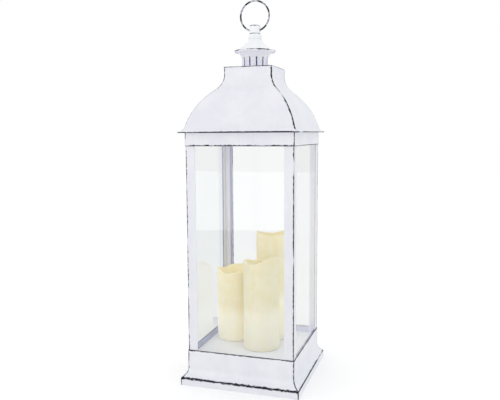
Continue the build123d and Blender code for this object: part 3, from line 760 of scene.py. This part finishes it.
# %% Panes
def pane_glass(name, tint):
    """Clear glass of a faint tint, which shadows and bounced light pass as if it weren't there."""
    material, tree, shader, place = start_material(
        name, Transmission_Weight=1.0, IOR=1.40, Specular_IOR_Level=0.3, Base_Color=(*tint, 1)
    )
    smears = cloud(tree, stretch(tree, place, 1, 1, 0.3), 14.0, 3.0)
    tree.links.new(ramp(tree, smears, 0.45, 0.75, 0.0, 0.02), shader.inputs["Roughness"])
    rays = tree.nodes.new("ShaderNodeLightPath").outputs
    passing = calc(tree, "MAXIMUM", rays["Is Shadow Ray"], rays["Is Diffuse Ray"])
    clear = add_node(tree, "ShaderNodeBsdfTransparent", {"Color": (1, 1, 1, 1)}).outputs[0]
    mixed = add_node(tree, "ShaderNodeMixShader", {0: passing, 1: shader.outputs[0], 2: clear}).outputs[0]
    tree.links.new(mixed, tree.nodes["Material Output"].inputs["Surface"])
    return material


face_glass = pane_glass("face_glass", (0.915, 0.922, 0.920))
# Painted shade: the side panes are tinted darker than the face pane, for how they look seen at a slant.
dimmed_side_glass = pane_glass("dimmed_side_glass", (0.845, 0.855, 0.860))
PANES = {
    "glass_front": ("lantern", face_glass),
    "door_glass": ("door", face_glass),
    "glass_left": ("lantern", dimmed_side_glass),
    "glass_right": ("lantern", dimmed_side_glass),
}
for node, (body, glass) in PANES.items():
    soften(node, glass, body, "clear_glass", smooth=False)

# %% [markdown]
# ## Candles
# A flameless pillar is a hollow casting of real wax with a melted-looking rim and a lamp sunk in
# its pool. Its section is turned on the upright axis as one closed loop, and then the rim is melted
# down. The wax comes first: it lets a little light in under its skin, has a painted glow, is painted
# a warmer shade inside the rim, and has a painted reflection that makes it paler towards the foot.

# %% Wax
FLOOR_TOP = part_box("floor_plate")[1][2]
# Where the painted warm shade inside the rim reaches.
SHADED_RIM_INSIDE = (0.0335, 0.0300)
SHADED_RIM_DEPTH = 0.010
# Where the painted reflection pales the lower wax.
REFLECTION_SHARE = 0.57
REFLECTION_FADE = 0.014


def wax_material(name, centre, top, painted_glow):
    """Ivory wax, faintly mottled, with soft marks down the sides; it has a painted warm shade inside
    the rim, a painted glow, and a painted reflection that pales it towards the foot.
    """
    material, tree, shader, place = start_material(
        name, Roughness=0.42, Subsurface_Weight=0.35, Subsurface_Scale=0.006, Specular_IOR_Level=0.35
    )
    shader.inputs["Subsurface Radius"].default_value = (1.0, 0.65, 0.25)
    centred = add_node(tree, "ShaderNodeVectorMath", {0: place, 1: centre}, operation="SUBTRACT").outputs[0]
    at = whereabouts(tree, centred)
    # Painted shade: a warmer, deeper tone on the wax inside the rim, just below the top.
    inside = ramp(tree, at["round"], *SHADED_RIM_INSIDE)
    below = ramp(tree, at["z"], top, top - SHADED_RIM_DEPTH)
    rim_shade = calc(tree, "MULTIPLY", inside, below)
    mottle = ramp(tree, cloud(tree, place, 55.0, 4.0, 0.6), 0.36, 0.66)
    runs = ramp(tree, cloud(tree, stretch(tree, place, 1, 1, 0.12), 130.0, 3.0), 0.4, 0.75)
    layers = cloud(tree, stretch(tree, place, 0.04, 0.04, 1), 480.0, 2.0)
    colour = blend_colours(tree, mottle, (0.885, 0.820, 0.600), (0.860, 0.780, 0.510))
    colour = blend_colours(tree, calc(tree, "MULTIPLY", runs, 0.5), colour, (0.890, 0.845, 0.670))
    # Painted reflection: the wax is paler, and glows a little, below a line part way down.
    foot = top - (top - FLOOR_TOP) * REFLECTION_SHARE
    painted_reflection = ramp(tree, at["z"], foot + REFLECTION_FADE, foot - REFLECTION_FADE)
    colour = blend_colours(tree, calc(tree, "MULTIPLY", painted_reflection, 0.55), colour, (0.930, 0.885, 0.765))
    colour = blend_colours(tree, rim_shade, colour, (0.93, 0.85, 0.56))
    tree.links.new(colour, shader.inputs["Base Color"])
    # Painted glow: the wax emits its own colour, though it is no lamp.
    tree.links.new(colour, shader.inputs["Emission Color"])
    tree.links.new(calc(tree, "MULTIPLY_ADD", painted_reflection, 0.06, painted_glow), shader.inputs["Emission Strength"])
    tree.links.new(ramp(tree, mottle, 0.0, 1.0, 0.36, 0.50), shader.inputs["Roughness"])
    skin = calc(tree, "MULTIPLY_ADD", runs, 0.6, cloud(tree, place, 300.0, 3.0))
    bump(tree, shader, calc(tree, "MULTIPLY_ADD", layers, 0.5, skin), 0.0003)
    return material


# %% [markdown]
# ## The candle's section
# The loop runs from the foot up the side, over the rim, down to the sunken pool and back along the
# inside. It has closer points near the top, because only that part will be bent by the melting.

# %% Candle section
CANDLE_WALL = 0.004
POOL_DEPTH = 0.020
POOL_THICKNESS = 0.006
LAMP_HOLE = 0.0041
MELT_REACH = 0.030
FOOT_ROUNDING = 0.0012
SIDE_RISES = 14
MELT_SHARES = (0.2, 0.4, 0.6, 0.8, 0.92)
RIM_PROFILE = (
    (0.0003, 0.0012),
    (0.0012, 0.0002),
    (0.0022, 0.0),
    (0.0032, 0.0006),
    (0.0041, 0.0026),
    (0.0058, 0.0080),
)
POOL_PROFILE = ((0.0090, 0.0040), (0.0140, 0.0008), (0.0190, 0.0))


def wax_section(radius, foot, top):
    """The closed loop. Profiles give how far in, and how far below the top or above the pool."""
    pool = top - POOL_DEPTH
    inner = radius - CANDLE_WALL
    side = top - foot - MELT_REACH
    line = [(inner, foot), (radius - FOOT_ROUNDING, foot), (radius, foot + FOOT_ROUNDING)]
    line += [(radius, foot + side * rise / SIDE_RISES) for rise in range(1, SIDE_RISES + 1)]
    line += [(radius, top - MELT_REACH + MELT_REACH * share) for share in MELT_SHARES]
    line += [(radius - inset, top - drop) for inset, drop in RIM_PROFILE]
    line += [(radius - inset, pool + rise) for inset, rise in POOL_PROFILE]
    line += [(LAMP_HOLE, pool), (LAMP_HOLE, pool - POOL_THICKNESS)]
    return line + [(inner, pool - POOL_THICKNESS)]


print("section points", len(wax_section(0.0375, 0.0, 0.180)))

# %% [markdown]
# ## Melting the rims
# Each candle has two or three low places, given as the direction they face, their depth and how
# many degrees wide they are. Every point near the top sinks by their sum, and the sinking fades out
# a little way down the side. Smooth noise then adds the small ripples and slumps that no two real
# castings share.

# %% Low places
CANDLES = {
    "tall": ((283.0, 0.0050, 45.0), (112.0, 0.0090, 55.0)),
    "medium": ((257.0, 0.0120, 38.0), (122.0, 0.0160, 58.0), (192.0, 0.0055, 30.0)),
    "short": ((262.0, 0.0075, 32.0), (148.0, 0.0060, 28.0), (330.0, 0.0030, 40.0)),
}
# How strongly each candle's painted glow lifts it.
PAINTED_GLOW = {"tall": 0.09, "medium": 0.03, "short": 0.09}


def sinking(angle, low_places):
    """How far the rim has sunk in a direction, in metres."""
    depth = 0.0
    for facing, deepest, width in low_places:
        away = (angle - facing + 180.0) % 360.0 - 180.0
        depth += deepest * exp(-((away / width) ** 2))
    return depth


for size, low_places in CANDLES.items():
    print(size, "sinks", round(sinking(low_places[0][0], low_places), 4), "m at its first low place")

# %% [markdown]
# ## Melted pillars
# The section is turned into a pillar first and bent afterwards, so the wall keeps its thickness.
# The points near the lamp stay still, and so does the foot that the pillar stands on.

# %% Melted pillars
CANDLE_STEPS = 96
RIM_RIPPLE = 0.0012
RIPPLE_PITCH = 3.0
SLUMP = 0.0006
STILL_RADIUS = 0.016
STILL_FADE = 0.014
FOOT_FADE = 0.01


def candle(size, low_places):
    """One wax pillar with its rim melted down at its low places."""
    low, high = (Vector(corner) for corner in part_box(f"{size}_wax"))
    centre = Vector(((low.x + high.x) / 2, (low.y + high.y) / 2, 0))
    radius = (high.x - low.x) / 2
    mesh = bmesh.new()
    chain = draw_line(mesh, [(out, 0, up) for out, up in wax_section(radius, low.z, high.z)])
    ends = [item for item in chain if isinstance(item, bmesh.types.BMVert)]
    chain.append(mesh.edges.new((ends[-1], ends[0])))
    bmesh.ops.spin(mesh, geom=chain, axis=(0, 0, 1), angle=tau, steps=CANDLE_STEPS, use_merge=True)
    bmesh.ops.remove_doubles(mesh, verts=mesh.verts, dist=SAME_PLACE)
    for vert in mesh.verts:
        out = Vector((vert.co.x, vert.co.y)).length
        angle = atan2(vert.co.y, vert.co.x)
        share = max(0.0, 1 - (high.z - vert.co.z) / MELT_REACH)
        share *= share * (3 - 2 * share)
        share *= min(1.0, max(0.0, (out - STILL_RADIUS) / STILL_FADE))
        around = Vector((cos(angle) * RIPPLE_PITCH, sin(angle) * RIPPLE_PITCH, radius + high.z * 50))
        ripple = RIM_RIPPLE * noise.noise(around)
        vert.co.z -= (sinking(degrees(angle), low_places) + RIM_RIPPLE + ripple) * share
        slump = noise.noise(Vector((cos(angle) * 1.3, sin(angle) * 1.3, vert.co.z * 30.0)))
        grow = 1 - SLUMP * (0.5 + 0.5 * slump) * min(1.0, (vert.co.z - low.z) / FOOT_FADE) / radius
        vert.co.x *= grow
        vert.co.y *= grow
    bmesh.ops.translate(mesh, verts=mesh.verts, vec=centre)
    bmesh.ops.recalc_face_normals(mesh, faces=mesh.faces)
    finish = wax_material(f"{size}_ivory_wax", centre, high.z, PAINTED_GLOW[size])
    finish_piece(mesh, f"{size}_candle_wax", finish, f"{size}_candle", "ivory_wax", f"{size}_wax")


for size, low_places in CANDLES.items():
    candle(size, low_places)

# %% [markdown]
# ## What is inside and underneath
# The lamp, battery box, cells, board, screws and clips keep the model's own shape. Each still gets
# a finish of its own: moulded plastic has a fine grain, plated steel has a drawn streak, and the
# lamp is a frosted lens.

# %% Plastics, steel and the rest
GRAIN_SPREAD = 0.07


def grained(name, colour, shade, scale, roughness, height, metal=0.0, drawn=1.0):
    """A two-tone finish with a fine grain, drawn out along the upright axis when drawn is small."""
    material, tree, shader, place = start_material(name, Metallic=metal)
    grain = cloud(tree, stretch(tree, place, 1, 1, drawn), scale, 3.0, 0.6)
    tree.links.new(
        blend_colours(tree, ramp(tree, grain, 0.35, 0.65), colour, shade), shader.inputs["Base Color"]
    )
    spread = ramp(tree, grain, 0.3, 0.7, roughness - GRAIN_SPREAD, roughness + GRAIN_SPREAD)
    tree.links.new(spread, shader.inputs["Roughness"])
    bump(tree, shader, grain, height)
    return material

# %% [markdown]
# ## Frosted lens
# The lamp is a small amber nose of cloudy plastic. Subsurface scattering lets light travel a few
# millimetres inside it, which is what cloudy plastic does.

# %% Frosted lens
def frosted_lens():
    """The lamp's frosted amber nose."""
    material, tree, shader, place = start_material(
        "frosted_lens", Roughness=0.35, Subsurface_Weight=0.6, Subsurface_Scale=0.004
    )
    cloudiness = cloud(tree, place, 500.0, 2.0)
    colour = blend_colours(tree, ramp(tree, cloudiness, 0.3, 0.7), (0.86, 0.62, 0.27), (0.90, 0.72, 0.42))
    tree.links.new(colour, shader.inputs["Base Color"])
    bump(tree, shader, cloudiness, 0.0001)
    return material


# %% [markdown]
# ## Kept pieces
# Which finish goes on which piece is a table, since the three candles are built alike. The steel
# pieces belong to the lantern and its door.

# %% Kept pieces
ivory_plastic = grained("ivory_plastic", (0.74, 0.70, 0.57), (0.70, 0.66, 0.53), 900.0, 0.5, 0.00006)
black_plastic = grained("black_plastic", (0.02, 0.02, 0.022), (0.035, 0.035, 0.038), 900.0, 0.5, 0.00006)
cell_jacket = grained("cell_jacket", (0.05, 0.06, 0.08), (0.09, 0.10, 0.12), 60.0, 0.3, 0.00002)
board_lacquer = grained("board_lacquer", (0.02, 0.13, 0.06), (0.03, 0.19, 0.08), 400.0, 0.4, 0.00005)
bare_steel = grained("bare_steel", (0.58, 0.58, 0.60), (0.46, 0.46, 0.48), 800.0, 0.34, 0.00004, 1.0, 0.1)
lens = frosted_lens()
KEPT_FINISHES = {
    "lamp": lens,
    "housing": ivory_plastic,
    "cover": ivory_plastic,
    "cells": cell_jacket,
    "contacts": bare_steel,
    "board": board_lacquer,
    "switch": black_plastic,
}


def finish_node(node, material):
    """Puts a finish on a node that keeps the model's own shape."""
    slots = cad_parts[node].data.materials
    slots.clear()
    slots.append(material)


for size in CANDLES:
    for piece, material in KEPT_FINISHES.items():
        finish_node(f"{size}_{piece}", material)
STEEL_NODES = ("tie_screw", "tie_washer", "hinge_pins", "door_clips", "latch_bush", "latch_cam")
for node in STEEL_NODES:
    finish_node(node, bare_steel)
print("kept nodes", len(CANDLES) * len(KEPT_FINISHES) + len(STEEL_NODES))

# %% [markdown]
# ## Studio
# The lantern stands on a wide pale floor that is nearly as white as what is round it, so no horizon
# shows. Matt white paint on plain board would look the same. A trace of emission lifts it to full
# white.

# %% Floor
FLOOR_HALF = 6.0
FLOOR_GLOW = 0.07
FLOOR_DULL = (0.91, 0.91, 0.91)
FLOOR_BRIGHT = (0.93, 0.93, 0.93)


def studio_floor():
    """A wide matt floor, white enough to vanish into the background."""
    material, tree, shader, place = start_material(
        "studio_floor",
        Roughness=0.9,
        Specular_IOR_Level=0.0,
        Emission_Color=(1, 1, 1, 1),
        Emission_Strength=FLOOR_GLOW,
    )
    tone = ramp(tree, cloud(tree, place, 3.0, 2.0), 0.3, 0.7)
    tree.links.new(blend_colours(tree, tone, FLOOR_DULL, FLOOR_BRIGHT), shader.inputs["Base Color"])
    mesh = bmesh.new()
    bmesh.ops.create_grid(mesh, x_segments=1, y_segments=1, size=FLOOR_HALF)
    data = bpy.data.meshes.new("studio_floor")
    mesh.to_mesh(data)
    mesh.free()
    floor = bpy.data.objects.new("studio_floor", data)
    bpy.context.collection.objects.link(floor)
    data.materials.append(material)
    print("floor", 2 * FLOOR_HALF, "m square")


studio_floor()

# %% [markdown]
# ## Light
# A white lantern is shown best by light from all sides, so the surround does most of the work and
# is a little stronger overhead. A weak key lamp at the front left shapes the roof. A softbox
# appears only in reflections, where it puts a soft sheen on the paint and the glass.

# %% Light
KEY_PLACE = (-1.6, -2.2, 1.8)
KEY_AIM = (0, 0, 0.30)
KEY_SIZE = 1.4
KEY_POWER = 1.0
SOFTBOX_PLACE = (-0.47, -1.6, 0.62)
SOFTBOX_AIM = (0, 0, 0.62)
SOFTBOX_SIZE = 1.15
SOFTBOX_POWER = 12.0


def area_light(name, place, aim, size, power):
    """A square softbox that points at a place."""
    data = bpy.data.lights.new(name, "AREA")
    data.size = size
    data.energy = power
    light = bpy.data.objects.new(name, data)
    bpy.context.collection.objects.link(light)
    direction = Vector(aim) - Vector(place)
    light.matrix_world = Matrix.Translation(place) @ direction.to_track_quat("-Z", "Y").to_matrix().to_4x4()
    return light


area_light("key", KEY_PLACE, KEY_AIM, KEY_SIZE, KEY_POWER)
softbox = area_light("softbox", SOFTBOX_PLACE, SOFTBOX_AIM, SOFTBOX_SIZE, SOFTBOX_POWER)
softbox.visible_diffuse = False
softbox.visible_camera = False
softbox.visible_transmission = False
print("lamps", KEY_POWER, SOFTBOX_POWER, "W")

# %% [markdown]
# ## Surround
# The surround lights the lantern as a white tent would. The cool tone on one side shows only in
# what it lights, never in the background.

# %% Surround
OVERHEAD_STRENGTH = 1.16
DAYLIGHT = (0.93, 0.985, 1.0)


def studio_world():
    """A white surround, a touch cooler on the right where the daylight comes from."""
    world = bpy.data.worlds.new("studio")
    bpy.context.scene.world = world
    world.use_nodes = True
    tree = world.node_tree
    way = tree.nodes.new("ShaderNodeTexCoord").outputs["Generated"]
    sideways = add_node(tree, "ShaderNodeSeparateXYZ", {0: way}).outputs["X"]
    upwards = add_node(tree, "ShaderNodeSeparateXYZ", {0: way}).outputs["Z"]
    seen = tree.nodes.new("ShaderNodeLightPath").outputs["Is Camera Ray"]
    coolness = calc(tree, "MULTIPLY", ramp(tree, sideways, 0.3, 0.8), calc(tree, "SUBTRACT", 1.0, seen))
    white = blend_colours(tree, coolness, (1.0, 1.0, 1.0), DAYLIGHT)
    overhead = ramp(tree, upwards, 0.35, 0.9, 1.0, OVERHEAD_STRENGTH)
    background = tree.nodes["Background"]
    tree.links.new(white, background.inputs["Color"])
    tree.links.new(overhead, background.inputs["Strength"])


studio_world()
print("surround", bpy.context.scene.world.name)
